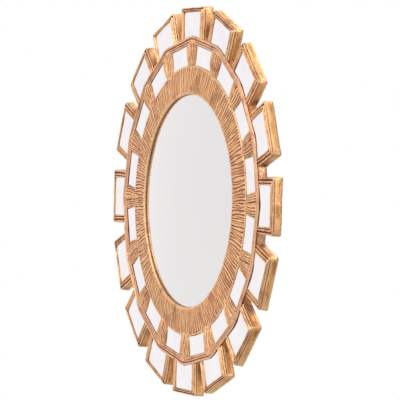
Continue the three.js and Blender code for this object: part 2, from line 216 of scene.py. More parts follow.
# %% [markdown]
# Gilding stays dull in hollows, where dark glaze gathers, and its ridges get a paler gold as a
# painted highlight. A material can't see that by itself, so each piece keeps a value called
# "hollow" at every point: 0.5 on flat ground, more in a groove and less on a ridge. It comes from
# comparing the surface with a smoothed copy of itself. A UV map called "grain" follows the strokes
# of brush and comb: its first number runs along a stroke and its second across it, both in
# millimetres.

# %% Bench tools: hollows and grain
def mark_hollows(piece, passes, full_depth):
    """Compares the mesh with a copy smoothed so many times. 0.5 more or less is the full depth."""
    mesh = piece.data
    count = len(mesh.vertices)
    places = np.empty(count * 3)
    normals = np.empty(count * 3)
    ends = np.empty(len(mesh.edges) * 2, dtype=np.int32)
    mesh.vertices.foreach_get("co", places)
    mesh.vertices.foreach_get("normal", normals)
    mesh.edges.foreach_get("vertices", ends)
    places = places.reshape(-1, 3)
    here = np.concatenate([ends[::2], ends[1::2]])
    there = np.concatenate([ends[1::2], ends[::2]])
    neighbours = np.maximum(np.bincount(here, minlength=count), 1)
    smoothed = places.copy()
    for _ in range(passes):
        for axis in range(3):
            total = np.bincount(here, weights=smoothed[there, axis], minlength=count)
            smoothed[:, axis] = 0.5 * smoothed[:, axis] + 0.5 * total / neighbours
    depth = ((smoothed - places) * normals.reshape(-1, 3)).sum(axis=1)
    share = np.clip(0.5 + 0.5 * depth / full_depth, 0, 1)
    hollow = mesh.attributes.new("hollow", "FLOAT", "POINT")
    hollow.data.foreach_set("value", share.astype(np.float32))


def map_grain(piece, stroke_at):
    """stroke_at(face centre, point) gives the place along and across a stroke, in metres."""
    mesh = piece.data
    grain = mesh.uv_layers.new(name="grain")
    for face in mesh.polygons:
        for loop in face.loop_indices:
            point = mesh.vertices[mesh.loops[loop].vertex_index].co
            along, across = stroke_at(face.center, point)
            grain.data[loop].uv = (along * 1000, across * 1000)


def lengthwise(centre, point):
    """Strokes that run along Y."""
    return point.y, point.x + point.z


print("hollow and grain tools ready")

# %% [markdown]
# ## Sizes
#
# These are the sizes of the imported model, repeated here because the model only gives boxes.

# %% Sizes of the frame
PETALS = 16
STEP = 2 * math.pi / PETALS
OPENING_RADIUS = 144 * MM
REBATE_RADIUS = 151.5 * MM
RING_RADIUS = 183 * MM
PLATEAU_FLAT = 219.2 * MM
PETAL_REACH = 261.5 * MM
PETAL_HALF_WIDTH = 37.5 * MM
INNER_TILE_HALF_WIDTH = 23.4 * MM
OUTER_TILE_HALF_WIDTH = 27 * MM
OUTER_TILE_REACH = 255.7 * MM
TILE_PLANE = 13 * MM
SEAT_GAP = 0.35 * MM
random.seed(16)
print("plateau is", round(2 * PLATEAU_FLAT * 1000, 1), "mm across its flats")

# %% [markdown]
# ## Petals
#
# A petal is a thick block with a stepped border on three sides and a mirror tile let into it. It
# could be an extruded outline with a boolean cut, but the border's ridges would then be separate
# work. Here one face is pulled up again and again. Each pull steps the outline inwards and up or
# down, as a moulding plane would, so walls, ridges, grooves and the tile's bed are one skin.
#
# The inner end of each pull stays where it is. The plateau covers it, as on the real casting.

# %% The petal's blank
ROOT = 211 * MM
ROOT_TAPER = 0.955  # the root's width as a share of the end's
CORNER = 3 * MM
petal_length = PETAL_REACH - ROOT


def petal_blank():
    middle = (0, ROOT + petal_length / 2, 0)
    blank = add_primitive(bpy.ops.mesh.primitive_plane_add, "petal", size=1, location=middle)
    edit(blank)
    size = (2 * PETAL_HALF_WIDTH, petal_length, 1)
    bpy.ops.transform.resize(value=size, center_override=middle)
    pick("verts", lambda v: v.co.y < 0)
    bpy.ops.transform.resize(value=(ROOT_TAPER, 1, 1), center_override=middle)
    pick("verts", lambda v: v.co.y > 0)
    bpy.ops.mesh.bevel(offset=CORNER, segments=4, affect="VERTICES")
    pick("edges", lambda e: e.calc_length() > 10 * MM)
    bpy.ops.mesh.subdivide(number_cuts=22)
    settle()
    return blank


petal = petal_blank()
print("petal blank has", len(petal.data.vertices), "points round its outline")

# %% The petal's border
# Share of the border's width, height over the tile plane in mm, and widening in mm.
BORDER_STEPS = [
    # the outer wall leans in as it rises
    (0, -12.2, 0.85), (0, -9, 0.65), (0, -5, 0.4), (0, -2.9, 0.25),
    (0, -2.4, -0.2), (0, -1.9, -0.15), (0, -1.5, 0.1), (0.01, -0.75, 0),
    # the outer ridge and the first groove
    (0.035, -0.25, 0), (0.08, 0.1, 0), (0.15, 0.25, 0), (0.2, 0.1, 0),
    (0.24, -0.5, 0), (0.28, -1.3, 0), (0.33, -1.7, 0), (0.38, -1.7, 0), (0.42, -1.2, 0),
    # the middle ridge and the second groove
    (0.455, -0.3, 0), (0.49, 0.55, 0), (0.54, 0.95, 0), (0.6, 1, 0), (0.65, 0.8, 0),
    (0.69, 0.2, 0), (0.72, -0.5, 0), (0.76, -0.6, 0), (0.79, -0.1, 0),
    # the inner ridge, and down to the tile's bed
    (0.83, 0.9, 0), (0.87, 1.35, 0), (0.92, 1.45, 0), (0.955, 1.2, 0),
    (0.972, 0.4, 0), (0.98, -2.4, 0),
]
FOOT_LEAN = BORDER_STEPS[0][2] * MM - 0.5 * MM


def pull_petal(blank):
    """Pulls the blank up through the steps, scaled about the middle of its inner end."""
    edit(blank)
    side = PETAL_HALF_WIDTH - OUTER_TILE_HALF_WIDTH
    end = PETAL_REACH - OUTER_TILE_REACH
    root = (0, ROOT, 0)
    width, length, height = PETAL_HALF_WIDTH + FOOT_LEAN, petal_length + FOOT_LEAN, 0.0
    foot = (width / PETAL_HALF_WIDTH, length / petal_length, 1)
    bpy.ops.transform.resize(value=foot, center_override=root)
    for share, rise, lean in BORDER_STEPS:
        new_width = PETAL_HALF_WIDTH + lean * MM - share * side
        new_length = petal_length + lean * MM - share * end
        new_height = TILE_PLANE + rise * MM
        rise_to(new_height, height, new_width / width, new_length / length, root)
        width, length, height = new_width, new_length, new_height
    finish_edit()


pull_petal(petal)
print("petal has", len(petal.data.polygons), "faces")

# %% [markdown]
# The carver's lines aren't even. Along each border the grooves are now deepened in places, and the
# outer walls get the long shallow scrapes that show in raking light.

# %% Uneven grooves and scraped walls
GROOVE_HEIGHTS = (-1.3, 0.35)  # lowest and highest point of a groove over the tile plane, in mm
COVERED_RADIUS = 218.6 * MM  # what lies nearer to the centre is under the plateau
BORDER_WIDTH, END_WIDTH = 10.5 * MM, 6 * MM


def ripple(value, seed):
    """A smooth uneven wave between 0 and 1, with swells of 30 and 13 mm."""
    turn = seed * 2.399
    waves = math.sin(value * 210 + turn) + 0.7 * math.sin(value * 487 + 1.7 * turn)
    return 0.5 + 0.29 * waves


def petal_groove_share(point):
    height = (point.z - TILE_PLANE) / MM
    low, high = GROOVE_HEIGHTS
    in_outer_ridge = abs(point.x) > PETAL_HALF_WIDTH - 2.2 * MM or point.y > PETAL_REACH - 1.6 * MM
    if in_outer_ridge or not low < height < high:
        return 0.0
    return ripple(point.y + point.x * 0.7, 1) * (high - height) / 1.6


def wall_scrape_share(point):
    if not 1.5 * MM < point.z < TILE_PLANE - 1.6 * MM:
        return 0.0
    return ripple(point.z * 1.4 + (point.x + point.y) * 0.3, 2)


def root_share(point):
    """The root sinks, so that its border doesn't show through the plateau's."""
    if point.z < TILE_PLANE - 3 * MM:
        return 0.0
    return max(0.0, (COVERED_RADIUS - math.hypot(point.x, point.y)) / (1.4 * MM))


def petal_stroke(centre, point):
    """Strokes run along the border: across at the petal's end, and outwards at its sides."""
    beyond = centre.y - (PETAL_REACH - END_WIDTH)
    outside = abs(centre.x) - (PETAL_HALF_WIDTH - BORDER_WIDTH)
    if beyond / END_WIDTH > outside / BORDER_WIDTH:
        return point.x, point.y + point.z
    return point.y, abs(point.x) + point.z + 0.1


carve(petal, "sunk_root", 4 * MM, root_share)
carve(petal, "deeper_grooves", 0.45 * MM, petal_groove_share)
carve(petal, "wall_scrapes", 0.25 * MM, wall_scrape_share, "NORMAL")
mark_hollows(petal, 8, 0.2 * MM)
map_grain(petal, petal_stroke)
print("petal carved")

# %% Sixteen petals, each swayed in its own way
def hang_round(model, stem, broad, fine, degrees):
    """Hangs a copy of a model in each sixteenth of the circle, and removes the model."""
    made = []
    for k in range(PETALS):
        twin = copy_of(model, f"{stem}_{k + 1:02d}")
        hang(twin, k * STEP)
        sway(twin, broad, fine)
        smooth_by_angle(twin, degrees)
        made.append(twin)
    bpy.data.objects.remove(model)
    return made


petals = hang_round(petal, "petal", 1.3 * MM, 0.35 * MM, 50)
print(len(petals), "petals hung")

# %% [markdown]
# ## Plateau
#
# The plateau is the body of the casting: a sixteen-sided disc whose beaded border overlaps the
# petals. Inside the border it drops to a channel in which the inner tiles lie, and its middle is
# open for the glass. A polygon is pulled up in steps like the petal, but scaled about its centre.
# At the end the inner edges of front and back are bridged, which makes the rebate's wall.

# %% The plateau's border
# Inset from the flat sides and height over the tile plane, in millimetres.
PLATEAU_STEPS = [
    # the outer wall, and a bead that overhangs it
    (-1.2, -12.2), (-0.8, -8), (-0.3, -3), (0, 0.12), (-0.7, 0.3), (-0.75, 0.85), (-0.45, 1.4),
    (0.2, 1.75), (1, 1.95), (1.8, 1.95), (2.3, 1.6), (2.65, 0.8),
    # a groove and a second bead
    (3.05, 0.3), (3.5, 0.4), (3.95, 1), (4.6, 1.5), (5.3, 1.55), (5.9, 1.2), (6.3, 0.75),
    # a shallow groove and a third bead, and down to the channel
    (6.75, 0.7), (7.2, 1.05), (7.8, 1.25), (8.6, 1.05), (9.3, 0.7), (9.9, 0.4), (10, 0.25),
    (9.68, 0.15), (9.68, -2.5),
]
PLATEAU_CORNER = 9 * MM
PLATEAU_FOOT = PLATEAU_FLAT + 0.6 * MM
BEAD_INSETS = (2, 7.6)  # millimetres, from the first bead's crest to the last groove
BEAD_HEIGHT = 1.7  # millimetres over the tile plane, above which no groove is dug


def plateau_blank():
    reach = PLATEAU_FOOT / math.cos(STEP / 2)
    blank = add_primitive(
        bpy.ops.mesh.primitive_circle_add, "plateau", vertices=PETALS, radius=reach, fill_type="NGON"
    )
    edit(blank)
    bpy.ops.mesh.bevel(offset=PLATEAU_CORNER, segments=9, affect="VERTICES")
    pick("edges", lambda e: e.calc_length() > 20 * MM)
    bpy.ops.mesh.subdivide(number_cuts=24)
    bpy.ops.mesh.select_all(action="SELECT")
    return blank


plateau = plateau_blank()
flat, height = PLATEAU_FOOT, 0.0
for inset, rise in PLATEAU_STEPS:
    new_flat, new_height = PLATEAU_FLAT - inset * MM, TILE_PLANE + rise * MM
    rise_to(new_height, height, new_flat / flat, new_flat / flat)
    flat, height = new_flat, new_height
print("the channel for the inner tiles is", round((TILE_PLANE - height) * 1000, 2), "mm deep")

# %% The channel, the rebate and the flat back
def close_in(radius, current_flat):
    """Narrows the selected face to a true circle of the given radius, at the same height."""
    grow = radius / current_flat
    rise_to(0, 0, grow, grow)
    bpy.ops.transform.tosphere(value=1.0)
    bpy.ops.mesh.delete(type="ONLY_FACE")


def plateau_groove_share(point):
    angle = math.atan2(point.x, point.y)
    off_flat = angle - (math.floor(angle / STEP) + 0.5) * STEP
    inset = (PLATEAU_FLAT - math.hypot(point.x, point.y) * math.cos(off_flat)) / MM
    height = (point.z - TILE_PLANE) / MM
    if height < 0 or not BEAD_INSETS[0] < inset < BEAD_INSETS[1]:
        return 0.0
    return (0.3 + 0.7 * ripple(angle * 0.12, 3)) * max(0.0, (BEAD_HEIGHT - height) / 1.4)


def plateau_stroke(centre, point):
    """Strokes run along the nearest flat side. The 90 mm keep one side's strokes off the next's."""
    side = round(math.atan2(centre.x, centre.y) / STEP - 0.5) + 0.5
    angle = side * STEP
    along = point.x * math.cos(angle) - point.y * math.sin(angle)
    outwards = point.x * math.sin(angle) + point.y * math.cos(angle)
    return along + side * 90 * MM, outwards + point.z


close_in(REBATE_RADIUS, flat)
pick("faces", lambda f: len(f.verts) > 40)
close_in(REBATE_RADIUS, PLATEAU_FOOT)
pick("edges", lambda e: e.is_boundary)
bpy.ops.mesh.bridge_edge_loops()
finish_edit()
carve(plateau, "deeper_grooves", 0.4 * MM, plateau_groove_share)
mark_hollows(plateau, 8, 0.22 * MM)
map_grain(plateau, plateau_stroke)
hang(plateau)
sway(plateau, 0.8 * MM, 0.3 * MM)
smooth_by_angle(plateau, 50)
print("plateau has", len(plateau.data.polygons), "faces")

# %% [markdown]
# ## Ribs
#
# Between two inner tiles stands a fan-shaped rib, low at the tiles and highest along its middle,
# with comb marks that spread outwards. A fine grid gives it enough points for every mark. Its rows
# are widened to make the fan, its edge is pulled down to make the sides, and four carvings give it
# the roof shape, the low ends, a split beside the crest and the marks.

# %% One rib
RIB_START = 178 * MM
RIB_END = 217.5 * MM
RIB_COLUMNS, RIB_ROWS = 72, 36
RIB_CREST = TILE_PLANE + 3.4 * MM


def rib_half_width(radius):
    side = radius * math.sin(STEP / 2) - INNER_TILE_HALF_WIDTH - SEAT_GAP
    return side / math.cos(STEP / 2)


def make_rib():
    middle = (0, (RIB_START + RIB_END) / 2, RIB_CREST)
    piece = add_primitive(
        bpy.ops.mesh.primitive_grid_add, "rib",
        x_subdivisions=RIB_COLUMNS, y_subdivisions=RIB_ROWS, size=1, location=middle,
    )
    edit(piece)
    size = (2 * rib_half_width(RIB_START), RIB_END - RIB_START, 1)
    bpy.ops.transform.resize(value=size, center_override=middle)
    settle()
    edit(piece)
    for row in range(RIB_ROWS + 1):
        radius = RIB_START + (RIB_END - RIB_START) * row / RIB_ROWS
        pick("verts", lambda v: abs(v.co.y - radius) < 0.2 * MM)
        spread = rib_half_width(radius) / rib_half_width(RIB_START)
        bpy.ops.transform.resize(value=(spread, 1, 1), center_override=(0, radius, 0))
    pick("edges", lambda e: e.is_boundary)
    rise_to(TILE_PLANE - 2.6 * MM, RIB_CREST)
    bpy.ops.mesh.edge_face_add()
    finish_edit()
    return piece


rib = make_rib()
print("rib is", round(2000 * rib_half_width(RIB_START), 1), "mm wide at its narrow end")

# %% Roof shape and comb marks of the rib
# Widths and places across the rib are shares of its half width at that radius.
RIB_MARKS = 9
MARK_HALF_WIDTH = 0.085
SPLIT_PLACE, SPLIT_HALF_WIDTH = -0.2, 0.15
RING_SIDE, BORDER_SIDE = 188 * MM, 205 * MM  # radii where the rib starts to drop

rib_marks = []
for i in range(RIB_MARKS):
    rib_marks.append((-1 + 2 * (i + random.uniform(0.3, 0.7)) / RIB_MARKS, random.uniform(0.5, 1.0)))


def on_rib_top(point):
    return point.z > TILE_PLANE


def rib_across(point):
    return point.x / rib_half_width(point.y)


def rib_roof_share(point):
    crest = 0.12 * math.sin(point.y * 120)
    return on_rib_top(point) * min(abs(rib_across(point) - crest), 1.0) ** 1.1


def rib_end_share(point):
    towards_ring = min(max((RING_SIDE - point.y) / (8 * MM), 0.0), 1.0)
    towards_border = min(max((point.y - BORDER_SIDE) / (11 * MM), 0.0), 1.0)
    return on_rib_top(point) * (0.75 * towards_ring + 0.7 * towards_border)


def rib_split_share(point):
    away = rib_across(point) - SPLIT_PLACE + 0.05 * math.sin(point.y * 190)
    return on_rib_top(point) * (1 - (away / SPLIT_HALF_WIDTH) ** 2)


def rib_mark_share(point):
    if point.z < TILE_PLANE - 1.5 * MM:
        return 0.0
    bend = 0.03 * math.sin(point.y * 260)
    deepest = 0.0
    for place, depth in rib_marks:
        away = (rib_across(point) - place - bend) / MARK_HALF_WIDTH
        deepest = max(deepest, depth * (1 - away * away))
    return deepest


carve(rib, "roof", 3.0 * MM, rib_roof_share)
carve(rib, "ends", 1.7 * MM, rib_end_share)
carve(rib, "split", 1.5 * MM, rib_split_share)
carve(rib, "comb_marks", 0.9 * MM, rib_mark_share)
mark_hollows(rib, 16, 0.3 * MM)
map_grain(rib, lengthwise)
ribs = hang_round(rib, "rib", 0.8 * MM, 0.3 * MM, 60)
print(len(ribs), "ribs hung")

# %% [markdown]
# ## Combed ring and lip
#
# The ring rises from the inner tiles to a rounded lip round the glass. A comb was drawn over it
# from the lip outwards, and left some 250 uneven furrows. The ring could be a lathed profile
# with a bump in its material, but the furrows break up its outline and catch the light, so they
# are real here. A circle with many points is pulled through the profile, and the furrows are
# carved with one share per point.

# %% The ring's blank
RING_POINTS = 1500
RING_PULL = 2.4  # the longest single pull, in millimetres
# Radius in millimetres and height over the tile plane in millimetres.
RING_STEPS = [
    (182.6, 0.2), (182.35, 0.75), (181.7, 1.05), (180, 1.25), (176.5, 1.6), (172.5, 1.95),
    (168.5, 2.3), (164.5, 2.65), (160.5, 2.98), (156.5, 3.25), (153, 3.42), (150.4, 3.52),
    # the lip, the shoulder that the glass lies against, and the rebate's wall
    (148.6, 3.6), (147.2, 3.62), (146.1, 3.5), (145.2, 3.1), (144.6, 2.45), (144.2, 1.5),
    (144, 0.4), (144, -0.28), (151.5, -0.28), (151.5, -2.6),
]


def make_ring():
    radius, height = RING_STEPS[0][0], TILE_PLANE + RING_STEPS[-1][1] * MM
    piece = add_primitive(
        bpy.ops.mesh.primitive_circle_add, "combed_ring",
        vertices=RING_POINTS, radius=radius * MM, location=(0, 0, height),
    )
    settle()
    edit(piece)
    for end_radius, rise in RING_STEPS:
        end_height = TILE_PLANE + rise * MM
        cuts = 1 + int((radius - end_radius) / RING_PULL) if end_radius < radius else 1
        for left in range(cuts, 0, -1):
            new_radius = radius + (end_radius - radius) / left
            new_height = height + (end_height - height) / left
            rise_to(new_height, height, new_radius / radius, new_radius / radius)
            radius, height = new_radius, new_height
    pick("edges", lambda e: e.is_boundary)
    bpy.ops.mesh.bridge_edge_loops()
    finish_edit()
    return piece


ring = make_ring()
print("ring has", len(ring.data.polygons), "faces")

# %% The furrows
COMB_STROKES = 256
COMB_PITCH = 2 * math.pi / COMB_STROKES
STROKE_HALF_WIDTH = 0.42  # share of the pitch
RING_TOP = TILE_PLANE + 0.5 * MM
LIP_FADE, EDGE_FADE = 5 * MM, 4 * MM  # over these widths the furrows grow shallow


def make_comb_strokes():
    """Angle, slant and wave in radians, and depth, of each stroke, with uneven spacing."""
    spacing = [random.uniform(0.55, 1.45) for _ in range(COMB_STROKES)]
    angle, made = 0.0, []
    for share in spacing:
        angle += 2 * math.pi * share / sum(spacing)
        slant = 0.016 * math.sin(angle * 6 + 1.0) + random.uniform(-0.01, 0.014)
        made.append((angle, slant, random.uniform(0, 6.28), random.uniform(0.6, 1.0)))
    return made


comb_strokes = make_comb_strokes()
stroke_angles = np.array([stroke[0] for stroke in comb_strokes])


def furrow_share(point):
    radius = math.hypot(point.x, point.y)
    beyond_lip = radius - OPENING_RADIUS + 0.1 * MM
    if point.z < RING_TOP or beyond_lip < 0:
        return 0.0
    run = (radius - OPENING_RADIUS) / (RING_RADIUS - OPENING_RADIUS)
    angle = math.atan2(point.x, point.y) % (2 * math.pi)
    near = 2.5 * COMB_PITCH
    first, last = np.searchsorted(stroke_angles, (angle - near, angle + near))
    share = 0.0
    for i in range(first, last + 1):
        place, slant, wave, depth = comb_strokes[i % COMB_STROKES]
        place += slant * (run - 0.5) + 0.004 * math.sin(run * 6 + wave)
        depth *= 0.86 + 0.14 * math.sin(run * 9 + 3 * wave)
        away = (angle - place + math.pi) % (2 * math.pi) - math.pi
        away = away / (COMB_PITCH * STROKE_HALF_WIDTH)
        share = max(share, depth * (1 - away * away))
    lip = min(1.0, 0.3 + beyond_lip / LIP_FADE)
    edge = min(1.0, (RING_RADIUS + 0.4 * MM - radius) / EDGE_FADE)
    return share * lip * edge


def ring_stroke(centre, point):
    """Strokes run outwards. Their width is measured round the ring's middle."""
    turn = math.atan2(centre.x, centre.y)
    away = (math.atan2(point.x, point.y) - turn + math.pi) % (2 * math.pi) - math.pi
    middle = 165 * MM
    return math.hypot(point.x, point.y) + point.z, (turn + away) * middle


carve(ring, "furrows", 1.3 * MM, furrow_share)
mark_hollows(ring, 7, 0.31 * MM)
map_grain(ring, ring_stroke)
hang(ring)
sway(ring, 0.6 * MM, 0.25 * MM)
smooth_by_angle(ring, 60)
print(len(comb_strokes), "strokes combed")

# %% [markdown]
# ## The back
#
# A hardboard disc keeps dust out and presses a felt ring against the glass. Four brass buttons,
# each on a screw, turn over its edge. A strap with a wire ring hangs the mirror, and two felt pads
# keep its lower edge off the wall. These pieces are small, but they show in every view from
# behind, so each gets its rounded edges, and the screws get their cross recess.

# %% The backing board
BOARD_RADIUS = 150 * MM
BOARD_THICKNESS = 2.6 * MM


def add_disc(name, points, radius, depth, middle):
    cylinder = bpy.ops.mesh.primitive_cylinder_add
    return add_primitive(cylinder, name, vertices=points, radius=radius, depth=depth, location=middle)


def make_board():
    middle = (0, 0, BOARD_THICKNESS / 2)
    piece = add_disc("hardboard_disc", 180, BOARD_RADIUS, BOARD_THICKNESS, middle)
    apply_modifier(piece, "BEVEL", "rubbed_edge", width=0.3 * MM, segments=2, limit_method="ANGLE")
    edit(piece)
    pick("faces", lambda f: len(f.verts) > 40)
    bpy.ops.mesh.inset(thickness=4 * MM)
    bpy.ops.mesh.poke()
    finish_edit()
    map_grain(piece, lambda centre, point: (point.x, point.y + point.z))
    hang(piece)
    smooth_by_angle(piece, 35)
    return piece


board = make_board()
print("board is", round(2000 * BOARD_RADIUS), "mm across")

# %% Pan-head screws with a cross recess
TOUCH = 0.3 * MM  # the gap that pieces keep where they touch
BUTTON_THICKNESS, STRAP_THICKNESS = 1.5 * MM, 1.2 * MM
HEAD_RADIUS, HEAD_HEIGHT = 3.0 * MM, 1.8 * MM
SHANK_RADIUS, SHANK_TIP = 1.5 * MM, 9 * MM
POINT_LENGTH = 2.5 * MM


def make_cross_bit():
    """Two crossed tapered blades, as on the screwdriver that fits the screw."""
    bit = add_primitive(bpy.ops.mesh.primitive_cube_add, "cross_bit", size=1)
    edit(bit)
    bpy.ops.transform.resize(value=(3.6 * MM, 0.75 * MM, 2.4 * MM), center_override=(0, 0, 0))
    pick("verts", lambda v: v.co.z > 0)
    bpy.ops.transform.resize(value=(0.35, 0.6, 1), center_override=(0, 0, 0))
    bpy.ops.mesh.select_all(action="SELECT")
    bpy.ops.mesh.duplicate_move()
    bpy.ops.transform.rotate(value=math.pi / 2, orient_axis="Z", center_override=(0, 0, 0))
    bpy.ops.object.mode_set(mode="OBJECT")
    return bit


def make_screw(seat):
    """Head towards the back, with its underside at height seat."""
    back = seat - HEAD_HEIGHT
    piece = add_disc("screw", 40, HEAD_RADIUS, HEAD_HEIGHT, (0, 0, seat - HEAD_HEIGHT / 2))
    settle()
    edit(piece)
    pick("faces", lambda f: len(f.verts) > 20 and f.normal.z > 0.9)
    shank = SHANK_RADIUS / HEAD_RADIUS
    rise_to(seat, seat, shank, shank)
    rise_to(SHANK_TIP - POINT_LENGTH, seat)
    rise_to(SHANK_TIP, SHANK_TIP - POINT_LENGTH, 0.15, 0.15)
    finish_edit()
    edit(piece)
    pick("edges", lambda e: all(abs(v.co.z - back) < 1e-6 for v in e.verts))
    bpy.ops.mesh.bevel(offset=1.1 * MM, segments=5, affect="EDGES")
    finish_edit()
    bit = make_cross_bit()
    bit.location.z = back + 0.15 * MM
    apply_modifier(piece, "BOOLEAN", "recess", operation="DIFFERENCE", object=bit, use_self=True)
    bpy.data.objects.remove(bit)
    smooth_by_angle(piece, 30)
    return piece


def drive_in(model, name, x, z):
    """Hangs a copy of a screw, with its recess at a chance angle."""
    twin = copy_of(model, name)
    twin.matrix_world = Matrix.Rotation(random.uniform(0, math.pi), 4, "Z")
    hang(twin, 0, x, z)
    return twin


button_screw = make_screw(-2 * TOUCH - BUTTON_THICKNESS)
strap_screw = make_screw(-2 * TOUCH - STRAP_THICKNESS)
print("a screw has", len(button_screw.data.polygons), "faces")

# %% Turn buttons and their screws
BUTTON_RADIUS = 162 * MM  # centre of the mirror to a screw
BUTTON_REACH = 20 * MM
BUTTON_ROUND, BUTTON_TIP = 4.6 * MM, 3.4 * MM  # radii of the two ends
HOLE_RADIUS = 1.8 * MM


def drill(piece, y):
    """Drills a screw hole right through a flat piece."""
    bit = add_disc("drill_bit", 40, HOLE_RADIUS, 10 * MM, (0, y, 0))
    apply_modifier(piece, "BOOLEAN", "hole", operation="DIFFERENCE", object=bit)
    bpy.data.objects.remove(bit)


def make_button():
    """A flat key: a disc whose inner half is drawn out to a narrower round tip."""
    piece = add_primitive(
        bpy.ops.mesh.primitive_circle_add, "turn_button",
        vertices=64, radius=BUTTON_ROUND, fill_type="NGON",
    )
    edit(piece)
    pick("verts", lambda v: v.co.y < -0.1 * MM)
    tip = BUTTON_TIP / BUTTON_ROUND
    bpy.ops.transform.resize(value=(tip, tip, 1), center_override=(0, 0, 0))
    bpy.ops.transform.translate(value=(0, -BUTTON_REACH, 0))
    bpy.ops.mesh.select_all(action="SELECT")
    bpy.ops.transform.translate(value=(0, BUTTON_RADIUS, -TOUCH - BUTTON_THICKNESS))
    bpy.ops.mesh.extrude_region_move(TRANSFORM_OT_translate={"value": (0, 0, BUTTON_THICKNESS)})
    finish_edit()
    drill(piece, BUTTON_RADIUS)
    apply_modifier(piece, "BEVEL", "worn_edge", width=0.3 * MM, segments=3, limit_method="ANGLE")
    map_grain(piece, lengthwise)
    smooth_by_angle(piece, 30)
    return piece


button = make_button()
buttons, screws = [], []
for i in range(4):
    angle = (i + 0.5) * math.pi / 2
    twin = copy_of(button, f"brass_button_{i + 1:02d}")
    hang(twin, angle)
    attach(twin, f"turn_button_{i + 1:02d}")
    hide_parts(f"turn_button_{i + 1:02d}")
    buttons.append(twin)
    x, z = BUTTON_RADIUS * math.sin(angle), BUTTON_RADIUS * math.cos(angle)
    twin = drive_in(button_screw, f"screw_of_button_{i + 1:02d}", x, z)
    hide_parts(f"button_screw_{i + 1:02d}")
    screws.append(twin)
bpy.data.objects.remove(button)
bpy.data.objects.remove(button_screw)
print(len(buttons), "buttons and", len(screws), "screws")

# %% [markdown]
# The hanger's strap is a strip of sheet brass. It could be bent by a modifier, but that wants an
# exact length. Here the flat strip is drawn and made thick, and then its end face is spun round the
# wire, which gives a true roll.

# %% The hanger's strap
BAR_RADIUS = 195.5 * MM  # centre of the mirror to the ring's bar
BAR_SETBACK = 3.0 * MM
STRAP_WIDTH, STRAP_LENGTH = 14 * MM, 27 * MM
STRAP_DROPS = (7.5 * MM, 21 * MM)  # from the bar down to each screw
ROLL_DEGREES = 302


def make_strap():
    start = (0, BAR_RADIUS, -TOUCH - STRAP_THICKNESS)
    piece = add_primitive(bpy.ops.mesh.primitive_plane_add, "strap", size=1, location=start)
    edit(piece)
    bpy.ops.transform.resize(value=(STRAP_WIDTH, STRAP_LENGTH, 1), center_override=start)
    bpy.ops.transform.translate(value=(0, -STRAP_LENGTH / 2, 0))
    pick("verts", lambda v: v.co.y < 0)
    bpy.ops.mesh.bevel(offset=6.4 * MM, segments=12, affect="VERTICES")
    settle()
    edit(piece)
    bpy.ops.mesh.extrude_region_move(TRANSFORM_OT_translate={"value": (0, 0, STRAP_THICKNESS)})
    finish_edit()
    edit(piece)
    pick("faces", lambda f: f.normal.y > 0.9)
    bar = (0, BAR_RADIUS, -BAR_SETBACK)
    bpy.ops.mesh.spin(
        steps=26, angle=math.radians(ROLL_DEGREES), center=bar, axis=(1, 0, 0), use_auto_merge=False
    )
    finish_edit()
    for drop in STRAP_DROPS:
        drill(piece, BAR_RADIUS - drop)
    apply_modifier(piece, "BEVEL", "worn_edge", width=0.22 * MM, segments=2, limit_method="ANGLE")
    map_grain(piece, lengthwise)
    hang(piece)
    smooth_by_angle(piece, 30)
    return piece


strap = make_strap()
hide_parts("hanger_strap")
for i, drop in enumerate(STRAP_DROPS):
    twin = drive_in(strap_screw, f"screw_of_strap_{i + 1}", 0, BAR_RADIUS - drop)
    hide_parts(f"hanger_screw_{i + 1}")
    screws.append(twin)
bpy.data.objects.remove(strap_screw)
print("strap reaches", [round(v * 1000, 1) for v in strap.bound_box[6]])

# %% [markdown]
# The hanger's ring is bent from round wire, with a bow above and a straight bar below. A path with
# a round section is quickest as a curve, so the outline is a closed curve that is given the wire's
# radius and turned into a mesh.

# %% The hanger's ring
WIRE_RADIUS = 1.25 * MM
BOW_RADIUS = 9.5 * MM  # half the ring's width
RING_LEG = 4.5 * MM
RING_BEND = 2 * MM
RING_LEAN = math.asin((BAR_SETBACK - WIRE_RADIUS - TOUCH) / (RING_LEG + BOW_RADIUS))


def arc(x, y, radius, start, sweep, steps):
    """Points on an arc, by its centre, radius and angles."""
    turns = [start + sweep * i / steps for i in range(steps + 1)]
    return [(x + radius * math.cos(turn), y + radius * math.sin(turn)) for turn in turns]


def ring_outline():
    """Anticlockwise round the bow, then a bend at each end of the bar."""
    quarter, inset = math.pi / 2, BOW_RADIUS - RING_BEND
    bow = arc(0, RING_LEG, BOW_RADIUS, 0, math.pi, 32)
    left = arc(-inset, RING_BEND, RING_BEND, math.pi, quarter, 6)
    right = arc(inset, RING_BEND, RING_BEND, -quarter, quarter, 6)
    return bow + left + right


def make_wire_ring():
    deselect_all()
    bpy.ops.curve.primitive_bezier_circle_add()
    piece = bpy.context.active_object
    shape = piece.data
    shape.splines.clear()
    outline = ring_outline()
    wire = shape.splines.new("POLY")
    wire.points.add(len(outline) - 1)
    wire.use_cyclic_u = True
    for point, (x, y) in zip(wire.points, outline):
        point.co = (x, y, 0, 1)
    shape.dimensions = "3D"
    shape.bevel_depth = WIRE_RADIUS
    shape.bevel_resolution = 5
    bpy.ops.object.convert(target="MESH")
    piece = bpy.context.active_object
    piece.name = piece.data.name = "wire_ring"
    lean = Matrix.Rotation(RING_LEAN, 4, "X")
    piece.matrix_world = Matrix.Translation((0, BAR_RADIUS, -BAR_SETBACK)) @ lean
    hang(piece)
    edit(piece)
    bpy.ops.mesh.remove_doubles(threshold=0.01 * MM)
    finish_edit()
    smooth_by_angle(piece, 60)
    return piece


wire_ring = make_wire_ring()
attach(wire_ring, "hanger_ring")
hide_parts("hanger_ring")
print("wire ring low and high", [round(v * 1000, 2) for v in wire_ring.bound_box[0]])

